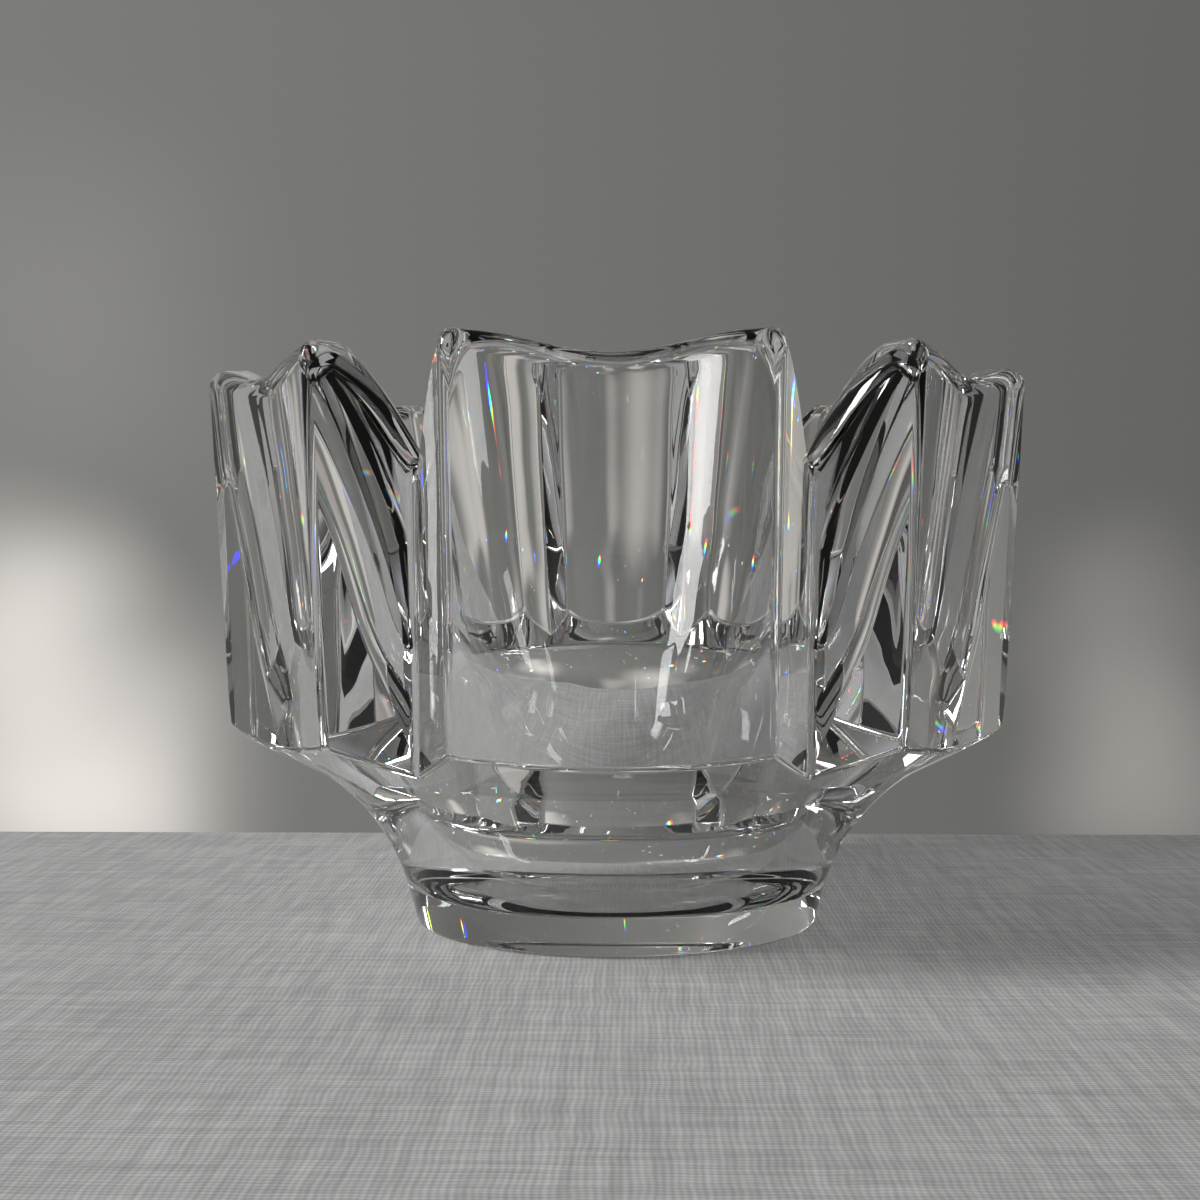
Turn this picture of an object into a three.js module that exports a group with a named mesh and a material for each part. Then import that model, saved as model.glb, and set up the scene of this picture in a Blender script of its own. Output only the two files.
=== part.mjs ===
// Crown bowl in clear crystal: six flat-faced lobes parted by V notches, on a waisted round foot.
// It is pressed and fire polished as one piece of glass, so the model is one closed body.
// Millimetres, +Z up, origin at the middle of the foot's underside, one lobe facing -Y.
import * as THREE from 'three';

// Lobes, seen from above: each has a flat face, and a V notch on either side
const LOBE_COUNT = 6;
const FACE_DISTANCE_TOP = 61.3; // from the axis to a lobe's face, at the height of the crown's tips
const FACE_DISTANCE_BOTTOM = 58.1; // the same at the lobes' lower edge
const LOBE_WIDTH_TOP = 44.4; // across a face, before its corners are rounded
const LOBE_WIDTH_BOTTOM = 42.6;
const NOTCH_DEPTH_TOP = 10.9; // from a lobe's corners to the root of the V, along the radius
const NOTCH_DEPTH_BOTTOM = 8.5;
const LOBE_CORNER_RADIUS = 1.8;
const NOTCH_ROOT_RADIUS = 1.5;
const LOWER_EDGE_RADIUS = 0.8;

// Crown: the rim is highest at the lobes' corners, dips along each face and falls into each notch
const CROWN_HEIGHT = 87.6;
const FACE_DIP = 3.1;
const NOTCH_DROP = 17.0;
const SHOULDER_FULLNESS = 0.35; // how much the rim bulges between a corner and a notch
const NOTCH_SOFTNESS = 0.06; // how much of a flank the rounding at the notch's lowest point takes
const RIM_RADIUS = 2.7; // fire-polished rounding of the rim

// Cavity: round, in two parts that meet in a soft bend. The upper part flares to the rim, the lower
// part is a cone that narrows through the waist to a small flat bottom
const CAVITY_RIM_DISTANCE = 56.3; // from the axis to the cavity's wall, at the height of the crown's tips
const UPPER_LEAN = THREE.MathUtils.degToRad(16.4); // from upright, just above the bend
const BEND_DISTANCE = 40.6;
const BEND_HEIGHT = 45.5;
const BEND_RADIUS = 60;
const BEND_LEG = 30; // length of the straight wall above the bend that its rounding is laid against
const CONE_LEAN = THREE.MathUtils.degToRad(25.5);
const BOTTOM_HEIGHT = 5.5;
const BOTTOM_RADIUS = 16; // rounding between the cone and the flat bottom

// Foot and waist: a short round foot, a crease, a hollow waist, then a straight flare to the lobes
const FOOT_RADIUS = 32.2;
const FOOT_EDGE_RADIUS = 0.7;
const CREASE_RADIUS = 34;
const CREASE_HEIGHT = 6.4;
const WAIST_ARC_RADIUS = 33.4;
const FLARE_WIDTH = 4.5; // straight part of the underside, inwards from the notches
const FLARE_START_HEIGHT = 25.4;
const FLARE_ANGLE = THREE.MathUtils.degToRad(26.7);

// Fineness of the faceted surface
const CORNER_STEPS = 2;
const FACE_STEPS = 8;
const FLANK_STEPS = 2;
const NOTCH_STEPS = 2;
const WAIST_STEPS = 6;
const WALL_STEPS = 4;
const ROUNDING_STEPS = 3;
const CAVITY_STEPS = 4;
const BOTTOM_STEPS = 5;

const SECTOR = (2 * Math.PI) / LOBE_COUNT;
const FRONT = -Math.PI / 2;
const CENTRE = new THREE.Vector2();

function atAngle(radius, angle) {
  return new THREE.Vector2(Math.cos(angle), Math.sin(angle)).multiplyScalar(radius);
}

// Arc that rounds a corner of a polygon, shortened where its edges leave less room.
function filletArc(before, corner, after, radius, steps) {
  const inward = before.clone().sub(corner);
  const onward = after.clone().sub(corner);
  const room = Math.min(inward.length(), onward.length()) * 0.48;
  inward.normalize();
  onward.normalize();
  const half = Math.acos(inward.dot(onward)) / 2;
  const cut = Math.min(radius / Math.tan(half), room);
  const rounding = cut * Math.tan(half);
  const bisector = inward.clone().add(onward).normalize();
  const centre = corner.clone().addScaledVector(bisector, rounding / Math.sin(half));
  const start = corner.clone().addScaledVector(inward, cut).sub(centre);
  const sweep = (Math.PI - 2 * half) * Math.sign(onward.cross(inward));
  const arc = [];
  for (let step = 0; step <= steps; step += 1) {
    arc.push(start.clone().rotateAround(CENTRE, (sweep * step) / steps).add(centre));
  }
  return arc;
}

// Closed outline of a polygon with rounded corners. A corner's edgeSteps are those to the next corner.
function roundedPolygon(corners) {
  const arcs = corners.map((corner, i) => {
    const before = corners.at(i - 1).point;
    const after = corners[(i + 1) % corners.length].point;
    return filletArc(before, corner.point, after, corner.radius, corner.arcSteps);
  });
  return arcs.flatMap((arc, i) => {
    const nextStart = arcs[(i + 1) % arcs.length][0];
    const edge = [];
    for (let step = 1; step < corners[i].edgeSteps; step += 1) {
      edge.push(arc.at(-1).clone().lerp(nextStart, step / corners[i].edgeSteps));
    }
    return [...arc, ...edge];
  });
}

// Outline with one flat face for each lobe and a rounded V between neighbours.
function lobedOutline({ faceDistance, width, notchDistance }) {
  const corners = [];
  for (let lobe = 0; lobe < LOBE_COUNT; lobe += 1) {
    const angle = FRONT + lobe * SECTOR;
    for (const side of [-1, 1]) {
      const point = new THREE.Vector2(faceDistance, (side * width) / 2).rotateAround(CENTRE, angle);
      const edgeSteps = side < 0 ? FACE_STEPS : FLANK_STEPS;
      corners.push({ point, radius: LOBE_CORNER_RADIUS, arcSteps: CORNER_STEPS, edgeSteps });
    }
    const root = atAngle(notchDistance, angle + SECTOR / 2);
    corners.push({ point: root, radius: NOTCH_ROOT_RADIUS, arcSteps: NOTCH_STEPS, edgeSteps: FLANK_STEPS });
  }
  return roundedPolygon(corners);
}

// Outside of the lobes
const cornerDistanceTop = Math.hypot(FACE_DISTANCE_TOP, LOBE_WIDTH_TOP / 2);
const cornerDistanceBottom = Math.hypot(FACE_DISTANCE_BOTTOM, LOBE_WIDTH_BOTTOM / 2);
const notchDistanceTop = cornerDistanceTop - NOTCH_DEPTH_TOP;
const notchDistanceBottom = cornerDistanceBottom - NOTCH_DEPTH_BOTTOM;
const topOutline = lobedOutline({
  faceDistance: FACE_DISTANCE_TOP,
  width: LOBE_WIDTH_TOP,
  notchDistance: notchDistanceTop,
});
const bottomOutline = lobedOutline({
  faceDistance: FACE_DISTANCE_BOTTOM,
  width: LOBE_WIDTH_BOTTOM,
  notchDistance: notchDistanceBottom,
});

// Inside, on the cavity's profile: the rounding of the bend and of the bottom
const bend = new THREE.Vector2(BEND_DISTANCE, BEND_HEIGHT);
const coneWidth = (BEND_HEIGHT - BOTTOM_HEIGHT) * Math.tan(CONE_LEAN);
const coneFoot = new THREE.Vector2(BEND_DISTANCE - coneWidth, BOTTOM_HEIGHT);
const bottomMiddle = new THREE.Vector2(0, BOTTOM_HEIGHT);
const aboveBend = atAngle(BEND_LEG, Math.PI / 2 - UPPER_LEAN).add(bend);
const bendArc = filletArc(aboveBend, bend, coneFoot, BEND_RADIUS, ROUNDING_STEPS);
const bottomArc = filletArc(bend, coneFoot, bottomMiddle, BOTTOM_RADIUS, BOTTOM_STEPS);

// Radius of the cavity above the bend: straight at first, then curved outwards to the rim.
function cavityRadius(height) {
  const from = bendArc[0];
  const rise = height - from.y;
  const fullRise = CROWN_HEIGHT - from.y;
  const flare = CAVITY_RIM_DISTANCE - from.x - fullRise * Math.tan(UPPER_LEAN);
  return from.x + rise * Math.tan(UPPER_LEAN) + flare * (rise / fullRise) ** 2;
}

// Underside: the waist's arc runs from the crease to the flare, hollow side out
const crease = new THREE.Vector2(CREASE_RADIUS, CREASE_HEIGHT);
const flareStart = new THREE.Vector2(notchDistanceBottom - FLARE_WIDTH, FLARE_START_HEIGHT);
const waistChord = flareStart.clone().sub(crease);
const waistCentreOffset = Math.sqrt(WAIST_ARC_RADIUS ** 2 - waistChord.lengthSq() / 4);
const waistCentre = crease
  .clone()
  .addScaledVector(waistChord, 0.5)
  .addScaledVector(new THREE.Vector2(waistChord.y, -waistChord.x).normalize(), waistCentreOffset);

function flareHeight(radius) {
  return flareStart.y + (radius - flareStart.x) * Math.tan(FLARE_ANGLE);
}

function footAndWaistProfile() {
  const foot = [
    new THREE.Vector2(FOOT_RADIUS / 2, 0),
    ...filletArc(CENTRE, new THREE.Vector2(FOOT_RADIUS, 0), crease, FOOT_EDGE_RADIUS, ROUNDING_STEPS),
  ];
  const startAngle = crease.clone().sub(waistCentre).angle();
  const endAngle = flareStart.clone().sub(waistCentre).angle();
  const waist = [];
  for (let step = 0; step <= WAIST_STEPS; step += 1) {
    const angle = THREE.MathUtils.lerp(startAngle, endAngle, step / WAIST_STEPS);
    waist.push(atAngle(WAIST_ARC_RADIUS, angle).add(waistCentre));
  }
  return [...foot, ...waist];
}

// Height of the crown's top line in one direction from the axis.
function rimHeight(angle) {
  const turn = THREE.MathUtils.euclideanModulo(angle - FRONT + SECTOR / 2, SECTOR) - SECTOR / 2;
  const ray = atAngle(1, Math.abs(turn));
  const along = (FACE_DISTANCE_TOP * ray.y) / ray.x / (LOBE_WIDTH_TOP / 2);
  if (along <= 1) {
    return CROWN_HEIGHT - (FACE_DIP * (1 + Math.cos(Math.PI * along))) / 2;
  }
  const corner = new THREE.Vector2(FACE_DISTANCE_TOP, LOBE_WIDTH_TOP / 2);
  const flank = atAngle(notchDistanceTop, SECTOR / 2).sub(corner);
  const left = 1 + ray.cross(corner) / ray.cross(flank);
  const softened = Math.hypot(left, NOTCH_SOFTNESS) - NOTCH_SOFTNESS;
  const fallen = (1 - softened) ** 2 * (1 + SHOULDER_FULLNESS * softened);
  return CROWN_HEIGHT - NOTCH_DROP * fallen;
}

// One station for each point of the outline: what the bowl measures on that line from foot to rim
const lowerHeight = flareHeight(FACE_DISTANCE_BOTTOM);
const stations = topOutline.map((top, i) => ({
  top,
  bottom: bottomOutline[i],
  rim: rimHeight(top.angle()),
  angle: top.angle(),
}));

function outsidePoint(station, height) {
  const share = (height - lowerHeight) / (CROWN_HEIGHT - lowerHeight);
  const place = station.bottom.clone().lerp(station.top, share);
  return new THREE.Vector3(place.x, place.y, height);
}

function pointAt(station, radius, height) {
  const place = atAngle(radius, station.angle);
  return new THREE.Vector3(place.x, place.y, height);
}

// Rings of points from the middle of the underside, round the outside, over the rim and down the cavity
const rings = [];

function addRing(pointOf) {
  rings.push(stations.map(pointOf));
}

function addFootAndWaist() {
  for (const profilePoint of footAndWaistProfile()) {
    addRing((station) => {
      const place = atAngle(profilePoint.x, station.bottom.angle());
      return new THREE.Vector3(place.x, place.y, profilePoint.y);
    });
  }
}

function addLowerEdge() {
  const quarter = Math.PI / 2;
  for (let step = 0; step <= ROUNDING_STEPS; step += 1) {
    const turn = (quarter * step) / ROUNDING_STEPS;
    addRing((station) => {
      const edge = station.bottom.length();
      const inset = LOWER_EDGE_RADIUS * (1 - Math.sin(turn));
      const lift = LOWER_EDGE_RADIUS * (1 - Math.cos(turn));
      const place = station.bottom.clone().setLength(edge - inset);
      return new THREE.Vector3(place.x, place.y, flareHeight(edge - inset) + lift);
    });
  }
}

function addOutsideWall() {
  for (let step = 1; step <= WALL_STEPS; step += 1) {
    addRing((station) => {
      const low = flareHeight(station.bottom.length()) + LOWER_EDGE_RADIUS;
      return outsidePoint(station, THREE.MathUtils.lerp(low, station.rim - RIM_RADIUS, step / WALL_STEPS));
    });
  }
}

function rimPoint(station, turn, outer) {
  const height = station.rim - RIM_RADIUS * (1 - Math.sin(turn));
  const outside = outsidePoint(station, height);
  const outsideRadius = Math.hypot(outside.x, outside.y);
  const insideRadius = cavityRadius(height);
  const rounding = Math.min(RIM_RADIUS, (outsideRadius - insideRadius) * 0.49);
  const inset = rounding * (1 - Math.cos(turn));
  return pointAt(station, outer ? outsideRadius - inset : insideRadius + inset, height);
}

function addRim() {
  const quarter = Math.PI / 2;
  for (let step = 1; step <= ROUNDING_STEPS; step += 1) {
    addRing((station) => rimPoint(station, (quarter * step) / ROUNDING_STEPS, true));
  }
  for (let step = ROUNDING_STEPS; step >= 0; step -= 1) {
    addRing((station) => rimPoint(station, (quarter * step) / ROUNDING_STEPS, false));
  }
}

function addCavityWall() {
  for (let step = 1; step <= CAVITY_STEPS; step += 1) {
    addRing((station) => {
      const height = THREE.MathUtils.lerp(station.rim - RIM_RADIUS, bendArc[0].y, step / CAVITY_STEPS);
      return pointAt(station, cavityRadius(height), height);
    });
  }
}

function addCone() {
  const middle = bendArc.at(-1).clone().lerp(bottomArc[0], 0.5);
  for (const profilePoint of [...bendArc.slice(1), middle, ...bottomArc]) {
    addRing((station) => pointAt(station, profilePoint.x, profilePoint.y));
  }
}

// Skins the rings into one closed surface with its faces out, closed by a fan at either end.
function closedSurface() {
  const count = stations.length;
  const points = [...rings.flat(), new THREE.Vector3(0, 0, 0), new THREE.Vector3(0, 0, BOTTOM_HEIGHT)];
  const underside = rings.length * count;
  const bottom = underside + 1;
  const triangles = [];
  for (let i = 0; i < count; i += 1) {
    const next = (i + 1) % count;
    triangles.push(underside, next, i);
    for (let ring = 0; ring + 1 < rings.length; ring += 1) {
      const low = ring * count;
      const high = low + count;
      triangles.push(low + i, low + next, high + next, low + i, high + next, high + i);
    }
    const last = (rings.length - 1) * count;
    triangles.push(last + i, last + next, bottom);
  }
  const geometry = new THREE.BufferGeometry().setFromPoints(points);
  geometry.setIndex(triangles);
  geometry.computeVertexNormals();
  return geometry;
}

function makeBowl() {
  addFootAndWaist();
  addLowerEdge();
  addOutsideWall();
  addRim();
  addCavityWall();
  addCone();
  const crystal = new THREE.MeshStandardMaterial({
    color: 0xeef2f2,
    roughness: 0.03,
    metalness: 0,
    transparent: true,
    opacity: 0.35,
  });
  const bowl = new THREE.Mesh(closedSurface(), crystal);
  bowl.name = 'bowl';
  return bowl;
}

const crownBowl = new THREE.Group();
crownBowl.add(makeBowl());

export default crownBowl;
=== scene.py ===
"""Crown bowl in clear crystal on a pale table, as in the photograph. Metres, +Z up, one lobe facing -Y."""
import math

import bpy
from mathutils import Matrix, Vector


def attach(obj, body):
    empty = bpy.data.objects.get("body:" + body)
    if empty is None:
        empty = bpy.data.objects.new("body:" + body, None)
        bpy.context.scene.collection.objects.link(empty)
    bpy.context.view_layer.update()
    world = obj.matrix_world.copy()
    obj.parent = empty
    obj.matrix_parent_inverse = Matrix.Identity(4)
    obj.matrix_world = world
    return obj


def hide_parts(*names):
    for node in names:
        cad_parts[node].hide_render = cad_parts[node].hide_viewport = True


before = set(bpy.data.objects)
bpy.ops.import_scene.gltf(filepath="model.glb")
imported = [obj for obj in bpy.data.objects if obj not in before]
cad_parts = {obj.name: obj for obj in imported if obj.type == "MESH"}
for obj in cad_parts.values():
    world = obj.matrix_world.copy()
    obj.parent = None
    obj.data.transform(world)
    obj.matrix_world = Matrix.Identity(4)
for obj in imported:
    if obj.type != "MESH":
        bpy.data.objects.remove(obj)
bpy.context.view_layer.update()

MM = 0.001

# Lobes, seen from above, in millimetres: each has a flat face, and a V notch on either side
LOBE_COUNT = 6
FACE_DISTANCE_TOP = 61.3
FACE_DISTANCE_BOTTOM = 58.1
LOBE_WIDTH_TOP = 44.4
LOBE_WIDTH_BOTTOM = 42.6
NOTCH_DEPTH_TOP = 10.9
NOTCH_DEPTH_BOTTOM = 8.5
LOBE_CORNER_RADIUS = 1.8
NOTCH_ROOT_RADIUS = 1.5
LOWER_EDGE_RADIUS = 0.8

# Crown
CROWN_HEIGHT = 87.6
FACE_DIP = 3.1
NOTCH_DROP = 17.0
SHOULDER_FULLNESS = 0.35
NOTCH_SOFTNESS = 0.06
RIM_RADIUS = 2.7

# Cavity: round, flared above a soft bend in its wall, and a cone with a small flat bottom below
CAVITY_RIM_DISTANCE = 56.3
UPPER_LEAN = math.radians(16.4)
BEND_DISTANCE = 40.6
BEND_HEIGHT = 45.5
BEND_RADIUS = 60
BEND_LEG = 30
CONE_LEAN = math.radians(25.5)
BOTTOM_HEIGHT = 5.5
BOTTOM_RADIUS = 16

# Foot and waist
FOOT_RADIUS = 32.2
FOOT_EDGE_RADIUS = 0.7
CREASE_RADIUS = 34
CREASE_HEIGHT = 6.4
CREASE_SOFTNESS = 0.8
WAIST_ARC_RADIUS = 33.4
FLARE_WIDTH = 4.5
FLARE_START_HEIGHT = 25.4
FLARE_ANGLE = math.radians(26.7)

# Fineness of the surface
CORNER_STEPS = 10
FACE_STEPS = 30
FLANK_STEPS = 12
NOTCH_STEPS = 8
FOOT_STEPS = 10
WAIST_STEPS = 24
FLARE_STEPS = 8
WALL_STEPS = 12
ROUNDING_STEPS = 10
CAVITY_STEPS = 30
BEND_STEPS = 16
CONE_STEPS = 8
BOTTOM_STEPS = 24
FLAT_STEPS = 6

# Most of an edge, and of the rim's thickness, that one rounding may take
EDGE_SHARE = 0.48
RIM_SHARE = 0.49

SECTOR = 2 * math.pi / LOBE_COUNT
FRONT = -math.pi / 2
ORIGIN = Vector((0, 0))


def at_angle(radius, angle):
    return Vector((radius * math.cos(angle), radius * math.sin(angle)))


def angle_of(point):
    return math.atan2(point.y, point.x)


def turned(vector, angle):
    return Matrix.Rotation(angle, 2) @ vector


def mix(a, b, share):
    return a + (b - a) * share


def fillet_arc(before, corner, after, radius, steps):
    """Arc that rounds a corner of a polygon, shortened where its edges leave less room."""
    inward = before - corner
    onward = after - corner
    room = min(inward.length, onward.length) * EDGE_SHARE
    inward.normalize()
    onward.normalize()
    half = math.acos(inward.dot(onward)) / 2
    cut = min(radius / math.tan(half), room)
    rounding = cut * math.tan(half)
    centre = corner + (inward + onward).normalized() * (rounding / math.sin(half))
    start = corner + inward * cut - centre
    cross = onward.x * inward.y - onward.y * inward.x
    sweep = math.copysign(math.pi - 2 * half, cross)
    return [centre + turned(start, sweep * step / steps) for step in range(steps + 1)]


def rounded_polygon(corners):
    """Closed outline. Each corner is (point, radius, arc steps, steps of the edge after it)."""
    arcs = []
    for i, (point, radius, arc_steps, _) in enumerate(corners):
        before = corners[i - 1][0]
        after = corners[(i + 1) % len(corners)][0]
        arcs.append(fillet_arc(before, point, after, radius, arc_steps))
    outline = []
    for i, arc in enumerate(arcs):
        edge_steps = corners[i][3]
        next_start = arcs[(i + 1) % len(arcs)][0]
        outline += arc
        outline += [mix(arc[-1], next_start, step / edge_steps) for step in range(1, edge_steps)]
    return outline


def lobed_outline(face_distance, width, notch_distance):
    """Outline with one flat face for each lobe and a rounded V between neighbours."""
    corners = []
    for lobe in range(LOBE_COUNT):
        angle = FRONT + lobe * SECTOR
        for side, edge_steps in ((-1, FACE_STEPS), (1, FLANK_STEPS)):
            point = turned(Vector((face_distance, side * width / 2)), angle)
            corners.append((point, LOBE_CORNER_RADIUS, CORNER_STEPS, edge_steps))
        root = at_angle(notch_distance, angle + SECTOR / 2)
        corners.append((root, NOTCH_ROOT_RADIUS, NOTCH_STEPS, FLANK_STEPS))
    return rounded_polygon(corners)


# Outlines of the lobes
notch_top = math.hypot(FACE_DISTANCE_TOP, LOBE_WIDTH_TOP / 2) - NOTCH_DEPTH_TOP
notch_bottom = math.hypot(FACE_DISTANCE_BOTTOM, LOBE_WIDTH_BOTTOM / 2) - NOTCH_DEPTH_BOTTOM
top_outline = lobed_outline(FACE_DISTANCE_TOP, LOBE_WIDTH_TOP, notch_top)
bottom_outline = lobed_outline(FACE_DISTANCE_BOTTOM, LOBE_WIDTH_BOTTOM, notch_bottom)

# Profile of the cavity: the rounding of the bend and of the bottom
bend = Vector((BEND_DISTANCE, BEND_HEIGHT))
cone_width = (BEND_HEIGHT - BOTTOM_HEIGHT) * math.tan(CONE_LEAN)
cone_foot = Vector((BEND_DISTANCE - cone_width, BOTTOM_HEIGHT))
bottom_middle = Vector((0, BOTTOM_HEIGHT))
above_bend = bend + at_angle(BEND_LEG, math.pi / 2 - UPPER_LEAN)
bend_arc = fillet_arc(above_bend, bend, cone_foot, BEND_RADIUS, BEND_STEPS)
bottom_arc = fillet_arc(bend, cone_foot, bottom_middle, BOTTOM_RADIUS, BOTTOM_STEPS)


def cavity_radius(height):
    """Radius of the cavity above the bend: straight at first, then curved outwards to the rim."""
    start = bend_arc[0]
    rise = height - start.y
    full_rise = CROWN_HEIGHT - start.y
    flare = CAVITY_RIM_DISTANCE - start.x - full_rise * math.tan(UPPER_LEAN)
    return start.x + rise * math.tan(UPPER_LEAN) + flare * (rise / full_rise) ** 2


# Underside: the waist's arc runs from the crease to the flare, hollow side out
crease = Vector((CREASE_RADIUS, CREASE_HEIGHT))
flare_start = Vector((notch_bottom - FLARE_WIDTH, FLARE_START_HEIGHT))
chord = flare_start - crease
waist_centre = (crease + flare_start) / 2 + Vector((chord.y, -chord.x)).normalized() * math.sqrt(
    WAIST_ARC_RADIUS**2 - chord.length_squared / 4
)


def flare_height(radius):
    return flare_start.y + (radius - flare_start.x) * math.tan(FLARE_ANGLE)


def waist_points():
    start = angle_of(crease - waist_centre)
    end = angle_of(flare_start - waist_centre)
    sweep = (end - start + math.pi) % (2 * math.pi) - math.pi
    return [
        waist_centre + at_angle(WAIST_ARC_RADIUS, start + sweep * step / WAIST_STEPS)
        for step in range(WAIST_STEPS + 1)
    ]


def foot_and_waist_profile():
    foot = [Vector((FOOT_RADIUS * step / FOOT_STEPS, 0)) for step in range(1, FOOT_STEPS)]
    edge = fillet_arc(ORIGIN, Vector((FOOT_RADIUS, 0)), crease, FOOT_EDGE_RADIUS, ROUNDING_STEPS)
    # The rounding of the crease takes the place of the waist's first points
    waist = waist_points()[2:]
    crease_arc = fillet_arc(edge[-1], crease, waist[0], CREASE_SOFTNESS, ROUNDING_STEPS)
    side = [mix(edge[-1], crease_arc[0], step / FOOT_STEPS) for step in range(1, FOOT_STEPS)]
    return foot + edge + side + crease_arc + waist


def rim_height(angle):
    """Height of the crown's top line in one direction from the axis."""
    turn = (angle - FRONT + SECTOR / 2) % SECTOR - SECTOR / 2
    ray = at_angle(1, abs(turn))
    along = FACE_DISTANCE_TOP * ray.y / ray.x / (LOBE_WIDTH_TOP / 2)
    if along <= 1:
        return CROWN_HEIGHT - FACE_DIP * (1 + math.cos(math.pi * along)) / 2
    corner = Vector((FACE_DISTANCE_TOP, LOBE_WIDTH_TOP / 2))
    flank = at_angle(notch_top, SECTOR / 2) - corner
    left = 1 + (ray.x * corner.y - ray.y * corner.x) / (ray.x * flank.y - ray.y * flank.x)
    softened = math.hypot(left, NOTCH_SOFTNESS) - NOTCH_SOFTNESS
    return CROWN_HEIGHT - NOTCH_DROP * (1 - softened) ** 2 * (1 + SHOULDER_FULLNESS * softened)


lower_height = flare_height(FACE_DISTANCE_BOTTOM)


class Station:
    """What the bowl measures on one line from the foot to the rim and down the cavity."""

    def __init__(self, bottom, top):
        self.bottom = bottom
        self.top = top
        self.angle = angle_of(top)
        self.rim = rim_height(self.angle)

    def at_radius(self, radius, height):
        return (*at_angle(radius, self.angle), height)

    def outside(self, height):
        share = (height - lower_height) / (CROWN_HEIGHT - lower_height)
        return (*mix(self.bottom, self.top, share), height)

    def rim_point(self, turn, outer):
        height = self.rim - RIM_RADIUS * (1 - math.sin(turn))
        x, y, _ = self.outside(height)
        outside_radius = math.hypot(x, y)
        inside_radius = cavity_radius(height)
        rounding = min(RIM_RADIUS, (outside_radius - inside_radius) * RIM_SHARE)
        inset = rounding * (1 - math.cos(turn))
        return self.at_radius(outside_radius - inset if outer else inside_radius + inset, height)


def underside_points(station):
    """From the middle of the foot's underside to the lobe's lower edge."""
    direction = angle_of(station.bottom)
    points = [(*at_angle(p.x, direction), p.y) for p in foot_and_waist_profile()]
    edge = station.bottom.length
    for step in range(1, FLARE_STEPS):
        radius = mix(flare_start.x, edge - LOWER_EDGE_RADIUS, step / FLARE_STEPS)
        points.append((*at_angle(radius, direction), flare_height(radius)))
    for step in range(ROUNDING_STEPS + 1):
        turn = math.pi / 2 * step / ROUNDING_STEPS
        radius = edge - LOWER_EDGE_RADIUS * (1 - math.sin(turn))
        lift = LOWER_EDGE_RADIUS * (1 - math.cos(turn))
        points.append((*at_angle(radius, direction), flare_height(radius) + lift))
    return points


def outer_wall_points(station):
    low = flare_height(station.bottom.length) + LOWER_EDGE_RADIUS
    high = station.rim - RIM_RADIUS
    return [station.outside(mix(low, high, step / WALL_STEPS)) for step in range(1, WALL_STEPS + 1)]


def rim_points(station):
    turns = [math.pi / 2 * step / ROUNDING_STEPS for step in range(ROUNDING_STEPS + 1)]
    up = [station.rim_point(turn, True) for turn in turns[1:]]
    down = [station.rim_point(turn, False) for turn in reversed(turns)]
    return up + down


def cavity_points(station):
    """From the rim down the cavity's wall towards the middle of its bottom."""
    points = []
    for step in range(1, CAVITY_STEPS + 1):
        height = mix(station.rim - RIM_RADIUS, bend_arc[0].y, step / CAVITY_STEPS)
        points.append(station.at_radius(cavity_radius(height), height))
    cone = [mix(bend_arc[-1], bottom_arc[0], step / CONE_STEPS) for step in range(1, CONE_STEPS)]
    flat = [mix(bottom_arc[-1], bottom_middle, step / FLAT_STEPS) for step in range(1, FLAT_STEPS)]
    for place in bend_arc[1:] + cone + bottom_arc + flat:
        points.append(station.at_radius(place.x, place.y))
    return points


def line_of(station):
    return (
        underside_points(station) + outer_wall_points(station) + rim_points(station) + cavity_points(station)
    )


def closed_surface(lines):
    """Vertices and faces of the surface that the lines skin, closed by a fan at either end."""
    count = len(lines)
    length = len(lines[0])
    vertices = [point for line in lines for point in line]
    underside = len(vertices)
    bottom = underside + 1
    vertices += [(0, 0, 0), (0, 0, BOTTOM_HEIGHT)]
    faces = []
    for i in range(count):
        here = i * length
        there = (i + 1) % count * length
        faces.append((underside, there, here))
        for k in range(length - 1):
            faces.append((here + k, there + k, there + k + 1, here + k + 1))
        faces.append((here + length - 1, there + length - 1, bottom))
    return [Vector(v) * MM for v in vertices], faces


def make_bowl(material):
    stations = [Station(bottom, top) for bottom, top in zip(bottom_outline, top_outline)]
    vertices, faces = closed_surface([line_of(station) for station in stations])
    mesh = bpy.data.meshes.new("crystal_bowl")
    mesh.from_pydata(vertices, [], faces)
    mesh.shade_smooth()
    mesh.materials.append(material)
    bowl = bpy.data.objects.new("crystal_bowl", mesh)
    bpy.context.scene.collection.objects.link(bowl)
    normals = bowl.modifiers.new("flat faces stay flat", "WEIGHTED_NORMAL")
    normals.weight = 70
    return bowl


# Crystal
CRYSTAL_IOR = 1.545
CRYSTAL_TINT = (0.985, 0.99, 0.988, 1)
SWELL_SCALE = 60
SWELL_HEIGHT = 0.00012


def add_node(tree, kind, inputs, **settings):
    """Adds a node. An input is given a value, or the socket that it is linked to."""
    node = tree.nodes.new(kind)
    for name, value in settings.items():
        setattr(node, name, value)
    for name, value in inputs.items():
        if isinstance(value, bpy.types.NodeSocket):
            tree.links.new(value, node.inputs[name])
        else:
            node.inputs[name].default_value = value
    return node


def calculate(tree, operation, a, b):
    return add_node(tree, "ShaderNodeMath", {0: a, 1: b}, operation=operation).outputs[0]


def ramp(tree, value, from_range, to_range, interpolation="LINEAR"):
    inputs = {
        "Value": value,
        "From Min": from_range[0],
        "From Max": from_range[1],
        "To Min": to_range[0],
        "To Max": to_range[1],
    }
    return add_node(tree, "ShaderNodeMapRange", inputs, interpolation_type=interpolation).outputs["Result"]


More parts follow.
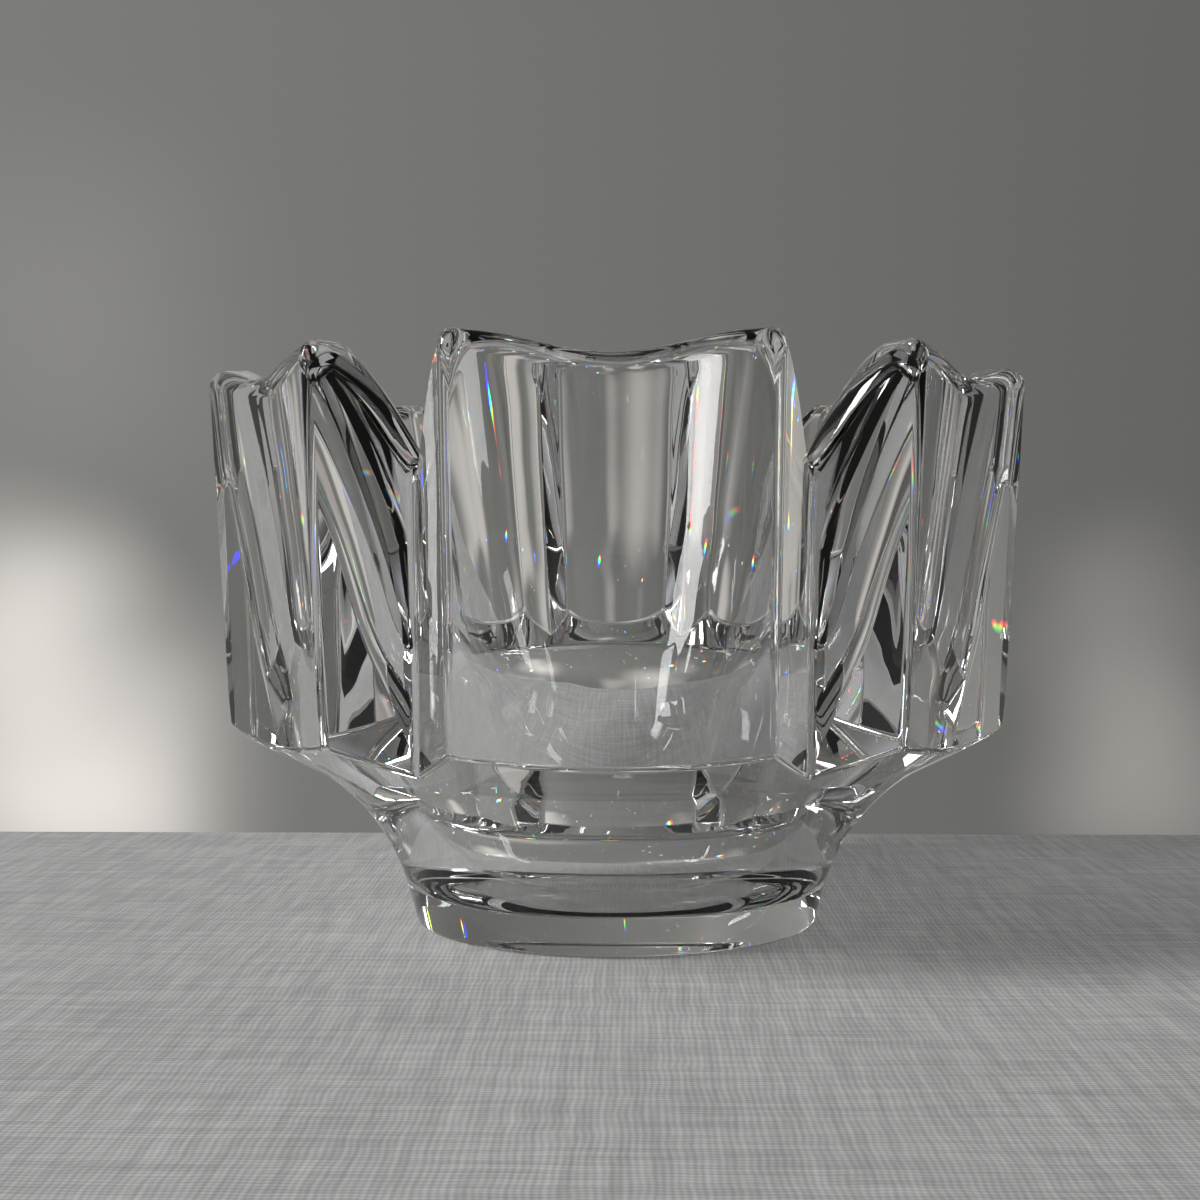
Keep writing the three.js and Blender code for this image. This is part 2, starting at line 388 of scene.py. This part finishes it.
def scaled(tree, vector, scale):
    return add_node(tree, "ShaderNodeVectorMath", {0: vector, "Scale": scale}, operation="SCALE").outputs[0]


def summed(tree, a, b):
    return add_node(tree, "ShaderNodeVectorMath", {0: a, 1: b}).outputs[0]


def new_material(name):
    material = bpy.data.materials.new(name)
    material.use_nodes = True
    return material, material.node_tree


def crystal_material():
    """Clear crystal with the faint swell of a fire-polished surface."""
    material, tree = new_material("clear crystal")
    shader = tree.nodes["Principled BSDF"]
    shader.inputs["Base Color"].default_value = CRYSTAL_TINT
    shader.inputs["IOR"].default_value = CRYSTAL_IOR
    shader.inputs["Transmission Weight"].default_value = 1
    shader.inputs["Roughness"].default_value = 0
    place = add_node(tree, "ShaderNodeTexCoord", {}).outputs["Object"]
    swell = add_node(tree, "ShaderNodeTexNoise", {"Vector": place, "Scale": SWELL_SCALE, "Detail": 1})
    bump = add_node(
        tree, "ShaderNodeBump", {"Height": swell.outputs[0], "Strength": 1, "Distance": SWELL_HEIGHT}
    )
    tree.links.new(bump.outputs["Normal"], shader.inputs["Normal"])
    return material


# Stage: a pale linen table with its far edge close behind the bowl
TABLE_COLOR = (0.335, 0.333, 0.33)
TABLE_TOP = -0.0002
TABLE_FAR_EDGE = 0.09
TABLE_SIZE = 0.9
TABLE_THICKNESS = 0.03
THREAD_PITCH = 0.00078
THREAD_SHADE = 0.1
WANDER_SCALE = 130
THREAD_WANDER = 9
SLUB_SCALE = 900
SLUB_STRETCH = 0.06
SLUB_RANGE = (0.3, 0.7)
SLUB_SHADE = 0.12
LINEN_ROUGHNESS = 0.9
LINEN_SPECULAR = 0.1


def linen_material():
    """Two crossing sets of threads that wander a little, each with its own slubs."""
    material, tree = new_material("pale linen")
    shader = tree.nodes["Principled BSDF"]
    shader.inputs["Roughness"].default_value = LINEN_ROUGHNESS
    shader.inputs["Specular IOR Level"].default_value = LINEN_SPECULAR
    place = add_node(tree, "ShaderNodeTexCoord", {}).outputs["Object"]
    axes = add_node(tree, "ShaderNodeSeparateXYZ", {0: place}).outputs
    noise = add_node(tree, "ShaderNodeTexNoise", {"Vector": place, "Scale": WANDER_SCALE, "Detail": 1})
    wander = calculate(tree, "MULTIPLY", noise.outputs[0], THREAD_WANDER)
    shade = 1
    for axis, stretch in ((0, (1, SLUB_STRETCH, 1)), (1, (SLUB_STRETCH, 1, 1))):
        turn = calculate(tree, "MULTIPLY", axes[axis], 2 * math.pi / THREAD_PITCH)
        wave = calculate(tree, "SINE", calculate(tree, "ADD", turn, wander), 0)
        threads = ramp(tree, wave, (-1, 1), (1 - THREAD_SHADE, 1 + THREAD_SHADE))
        along = add_node(tree, "ShaderNodeMapping", {"Vector": place, "Scale": stretch}).outputs[0]
        slubs = add_node(tree, "ShaderNodeTexNoise", {"Vector": along, "Scale": SLUB_SCALE, "Detail": 2})
        slubs = ramp(tree, slubs.outputs[0], SLUB_RANGE, (1 - SLUB_SHADE, 1 + SLUB_SHADE))
        shade = calculate(tree, "MULTIPLY", shade, calculate(tree, "MULTIPLY", threads, slubs))
    tree.links.new(scaled(tree, TABLE_COLOR, shade), shader.inputs["Base Color"])
    return material


def make_table():
    half = TABLE_SIZE / 2
    near = TABLE_FAR_EDGE - TABLE_SIZE
    corners = [(-half, near), (half, near), (half, TABLE_FAR_EDGE), (-half, TABLE_FAR_EDGE)]
    vertices = [(x, y, z) for z in (TABLE_TOP, TABLE_TOP - TABLE_THICKNESS) for x, y in corners]
    sides = [(i, i + 4, (i + 1) % 4 + 4, (i + 1) % 4) for i in range(4)]
    mesh = bpy.data.meshes.new("table")
    mesh.from_pydata(vertices, [], [(0, 1, 2, 3), (7, 6, 5, 4), *sides])
    mesh.materials.append(linen_material())
    table = bpy.data.objects.new("table", mesh)
    bpy.context.scene.collection.objects.link(table)


# Room: a plain wall all round with painted light: painted paler on the left as if lit from there, darker
# towards the ceiling and low down, and with soft pools of light painted on it. The camera and the glass see
# it, and the table is lit at an even level
WALL_COLOR = (1, 1, 0.94)
WALL_SPAN = (-1, 0.5)
WALL_LEFT = 0.28
WALL_RIGHT = 0.108
CEILING_RISE = (0.3, 0.9)
CEILING_SHARE = 0.75
LOW_WALL_TOP = (-0.3, -0.14)
LOW_WALL_SHARE = 0.65
EVEN_LEVEL = (0.3, 0.3, 0.3)
LEVEL_UNDER_GLASS = (0.85, 0.85, 0.83)

# Pools of light: heading from straight back, elevation, radius (degrees) and brightness
WARM_COLOR = (1, 0.93, 0.88)
COOL_COLOR = (0.91, 0.97, 1.08)
POOLS = (
    (-19.5, -5.5, 8.5, 0.5),
    (-16, -7.5, 6, 0.25),
    (-19, -0.5, 5, 0.28),
    (-18, 8, 8, 0.05),
    (15.6, -2, 5, 0.1),
    (16.5, -6.5, 5, 0.18),
)
# Painted reflections: pools of warm and cool light that only the glass shows, not the camera
WARM_POOLS_IN_GLASS = (
    (8, -12, 10, 0.45),
    (-12, 24, 13, 0.35),
    (50, -12, 14, 0.3),
    (0, -50, 60, 0.07),
)
COOL_POOLS_IN_GLASS = (
    (-60, 2, 14, 0.12),
    (-85, -8, 26, 0.25),
    (-130, -15, 25, 0.2),
    (-150, 40, 20, 0.25),
    (150, 40, 16, 0.2),
)
POOL_WARP_SCALE = 7
POOL_WARP = 0.06

# Painted dapples of light low on the wall, and layers of painted glints: scale, radius and brightness. Only
# the glass shows them
DAPPLE_SCALE = 5
DAPPLE_RANGE = (0.46, 0.66)
DAPPLE_LEVEL = 0.42
GLINTS = ((8.5, 0.085, 12), (23, 0.08, 6))
GLINT_SPREAD = 0.53


def direction(heading, elevation):
    turn = math.radians(heading)
    rise = math.radians(elevation)
    return Vector((math.sin(turn) * math.cos(rise), math.cos(turn) * math.cos(rise), math.sin(rise)))


def pools_of_light(tree, place, pools, color):
    noise = add_node(tree, "ShaderNodeTexNoise", {"Vector": place, "Scale": POOL_WARP_SCALE, "Detail": 1})
    warp = summed(tree, scaled(tree, noise.outputs["Color"], POOL_WARP), (-POOL_WARP / 2,) * 3)
    place = summed(tree, place, warp)
    total = 0
    for heading, elevation, radius, level in pools:
        inputs = {0: place, 1: direction(heading, elevation)}
        away = add_node(tree, "ShaderNodeVectorMath", inputs, operation="DISTANCE").outputs["Value"]
        pool = ramp(tree, away, (0, math.radians(radius)), (level, 0), "SMOOTHSTEP")
        total = calculate(tree, "ADD", total, pool)
    return scaled(tree, color, total)


def painted_dapples(tree, place, low_down):
    # Painted light: warm dapples of sunlight low on the wall
    noise = add_node(tree, "ShaderNodeTexNoise", {"Vector": place, "Scale": DAPPLE_SCALE, "Detail": 1})
    level = ramp(tree, noise.outputs[0], DAPPLE_RANGE, (0, DAPPLE_LEVEL), "SMOOTHSTEP")
    return scaled(tree, WARM_COLOR, calculate(tree, "MULTIPLY", level, low_down))


def painted_glints(tree, place):
    """Painted glints: small bright lights, spread a little by color in the paint itself, as a painted
    stand-in for the rainbow sparkle of crystal.
    """
    total = (0, 0, 0)
    for scale, radius, level in GLINTS:
        channels = {}
        for name, side in (("X", -1), ("Y", 0), ("Z", 1)):
            shift = side * GLINT_SPREAD * radius / scale
            cells = {"Vector": summed(tree, place, (shift, 0, shift)), "Scale": scale}
            away = add_node(tree, "ShaderNodeTexVoronoi", cells).outputs["Distance"]
            channels[name] = ramp(tree, away, (0, radius), (level, 0), "SMOOTHSTEP")
        total = summed(tree, add_node(tree, "ShaderNodeCombineXYZ", channels).outputs[0], total)
    return total


def wall(tree, axes, low_down):
    # Painted shade: the wall's level falls from left to right and is lowered towards the ceiling and low
    # down
    across = ramp(tree, axes["X"], WALL_SPAN, (WALL_LEFT, WALL_RIGHT))
    upwards = ramp(tree, axes["Z"], CEILING_RISE, (1, CEILING_SHARE))
    downwards = ramp(tree, low_down, (0, 1), (1, LOW_WALL_SHARE))
    level = calculate(tree, "MULTIPLY", across, calculate(tree, "MULTIPLY", upwards, downwards))
    return scaled(tree, WALL_COLOR, level)


def room(tree, by_glass):
    """The wall with its painted light and pools, and for the glass also painted pools, dapples and glints
    that only the glass shows.
    """
    place = add_node(tree, "ShaderNodeTexCoord", {}).outputs["Generated"]
    axes = add_node(tree, "ShaderNodeSeparateXYZ", {0: place}).outputs
    low_down = ramp(tree, axes["Z"], LOW_WALL_TOP, (1, 0), "SMOOTHSTEP")
    warm = pools_of_light(tree, place, WARM_POOLS_IN_GLASS, WARM_COLOR)
    cool = pools_of_light(tree, place, COOL_POOLS_IN_GLASS, COOL_COLOR)
    painted_light_in_glass = summed(tree, summed(tree, warm, cool), painted_dapples(tree, place, low_down))
    painted_light_in_glass = summed(tree, painted_light_in_glass, painted_glints(tree, place))
    seen = summed(tree, wall(tree, axes, low_down), pools_of_light(tree, place, POOLS, WARM_COLOR))
    return summed(tree, seen, scaled(tree, painted_light_in_glass, by_glass))


def set_world():
    """The camera and the glass see the room. Everything else is lit by one even level."""
    world = bpy.data.worlds.new("room")
    world.use_nodes = True
    tree = world.node_tree
    ray = add_node(tree, "ShaderNodeLightPath", {}).outputs
    by_glass = calculate(tree, "MAXIMUM", ray["Is Glossy Ray"], ray["Is Transmission Ray"])

    # What falls on the table through the glass is brighter, in place of the lamps' light that it bends
    on_table = calculate(tree, "MINIMUM", ray["Diffuse Depth"], 1)
    under_glass = calculate(tree, "MULTIPLY", on_table, by_glass)
    extra = scaled(tree, [a - b for a, b in zip(LEVEL_UNDER_GLASS, EVEN_LEVEL)], under_glass)
    even_light = add_node(tree, "ShaderNodeBackground", {0: summed(tree, EVEN_LEVEL, extra)}).outputs[0]
    room_light = add_node(tree, "ShaderNodeBackground", {0: room(tree, by_glass)}).outputs[0]
    by_eye = calculate(tree, "SUBTRACT", by_glass, under_glass)
    is_seen = calculate(tree, "MAXIMUM", ray["Is Camera Ray"], by_eye)
    light = add_node(tree, "ShaderNodeMixShader", {0: is_seen, 1: even_light, 2: room_light})
    tree.links.new(light.outputs[0], tree.nodes["World Output"].inputs["Surface"])
    bpy.context.scene.world = world


# Lamps: name, place, width and height, watts. They face the bowl's middle
BOWL_MIDDLE = Vector((0, 0, 0.045))
LAMPS = (
    ("window_left", (-0.9, -0.35, 0.55), (0.35, 0.5), 14),
    ("window_right", (0.9, 0.35, 0.45), (0.25, 0.5), 2),
)


def add_lamp(name, place, size, power):
    light = bpy.data.lights.new(name, "AREA")
    light.shape = "RECTANGLE"
    light.size, light.size_y = size
    light.energy = power
    lamp = bpy.data.objects.new(name, light)
    bpy.context.scene.collection.objects.link(lamp)
    lamp.location = place
    lamp.rotation_euler = (BOWL_MIDDLE - Vector(place)).to_track_quat("-Z", "Y").to_euler()


# Camera, from a fit to the photograph's outline
CAMERA_PLACE = (0.00276, -0.28225, 0.05577)
CAMERA_PITCH = math.radians(-0.865)
CAMERA_HEADING = math.radians(1.094)
SENSOR_WIDTH = 36
LENS = 51.88
CLIP_START = 0.01


def add_camera():
    data = bpy.data.cameras.new("camera")
    data.sensor_width = SENSOR_WIDTH
    data.lens = LENS
    data.clip_start = CLIP_START
    camera = bpy.data.objects.new("camera", data)
    bpy.context.scene.collection.objects.link(camera)
    camera.location = CAMERA_PLACE
    camera.rotation_euler = (math.pi / 2 + CAMERA_PITCH, 0, CAMERA_HEADING)
    bpy.context.scene.camera = camera


bowl = make_bowl(crystal_material())
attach(bowl, "root")
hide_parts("bowl")

make_table()
for lamp in LAMPS:
    add_lamp(*lamp)
add_camera()
set_world()
bpy.context.scene.view_settings.view_transform = "Standard"
